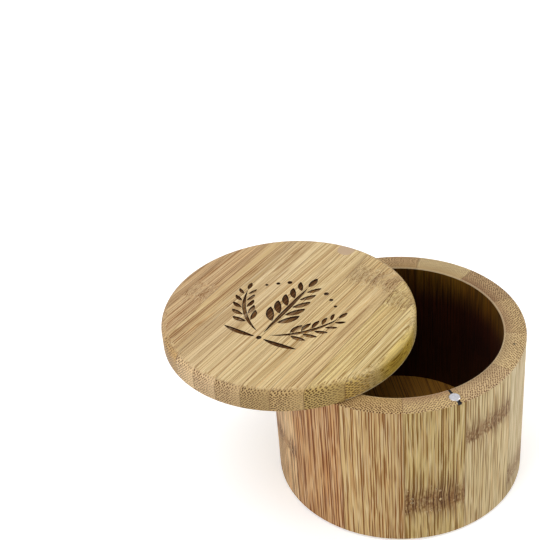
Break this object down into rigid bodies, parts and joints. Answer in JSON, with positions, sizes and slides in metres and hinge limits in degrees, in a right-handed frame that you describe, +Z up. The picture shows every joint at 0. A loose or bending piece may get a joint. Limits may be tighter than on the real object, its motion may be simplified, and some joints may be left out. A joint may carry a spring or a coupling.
{
  "type": "salt box with swivel lid",
  "caption": "Round wooden salt box: a turned ring of glued staves with a let-in floor, shut by a flat laminated lid that swivels on a screw in the rim and is caught by disc magnets.",
  "frame": {"origin": "centre of the flat underside, on the turned ring's axis", "axes": "+Z up through the mouth; +Y towards the lid's pivot; -Y towards the rim magnet; the lid stands swung open 55 degrees clockwise seen from above"},
  "size_m": [0.1222, 0.1063, 0.0671],
  "materials": {
    "bamboo_ring": "satin oiled bamboo, caramel strips with dark fibres",
    "bamboo_lid": "satin oiled bamboo, edge-glued strips, burnt ornament on top",
    "bamboo_floor": "satin oiled bamboo, edge-glued strips",
    "bamboo_plug": "end-grain bamboo",
    "screw_steel": "zinc-plated steel",
    "magnet_nickel": "bright nickel plate"
  },
  "bodies": {
    "body": {"stave_01": "bamboo_ring", "stave_02": "bamboo_ring", "stave_03": "bamboo_ring", "stave_04": "bamboo_ring", "stave_05": "bamboo_ring", "stave_06": "bamboo_ring", "stave_07": "bamboo_ring", "stave_08": "bamboo_ring", "stave_09": "bamboo_ring", "stave_10": "bamboo_ring", "stave_11": "bamboo_ring", "stave_12": "bamboo_ring", "stave_13": "bamboo_ring", "floor_strip_01": "bamboo_floor", "floor_strip_02": "bamboo_floor", "floor_strip_03": "bamboo_floor", "floor_strip_04": "bamboo_floor", "floor_strip_05": "bamboo_floor", "floor_strip_06": "bamboo_floor", "floor_strip_07": "bamboo_floor", "floor_strip_08": "bamboo_floor", "floor_strip_09": "bamboo_floor", "pivot_screw": "screw_steel", "rim_magnet": "magnet_nickel"},
    "lid": {"lid_strip_01": "bamboo_lid", "lid_strip_02": "bamboo_lid", "lid_strip_03": "bamboo_lid", "lid_strip_04": "bamboo_lid", "lid_strip_05": "bamboo_lid", "lid_strip_06": "bamboo_lid", "lid_strip_07": "bamboo_lid", "lid_strip_08": "bamboo_lid", "lid_strip_09": "bamboo_lid", "lid_strip_10": "bamboo_lid", "pivot_plug": "bamboo_plug", "lid_magnet": "magnet_nickel"}
  },
  "joints": [
    {"name": "lid_swivel", "type": "hinge", "parent": "body", "child": "lid", "pos_m": [0, 0.04065, 0.0584], "axis": [0, 0, 1], "continuous": true}
  ]
}
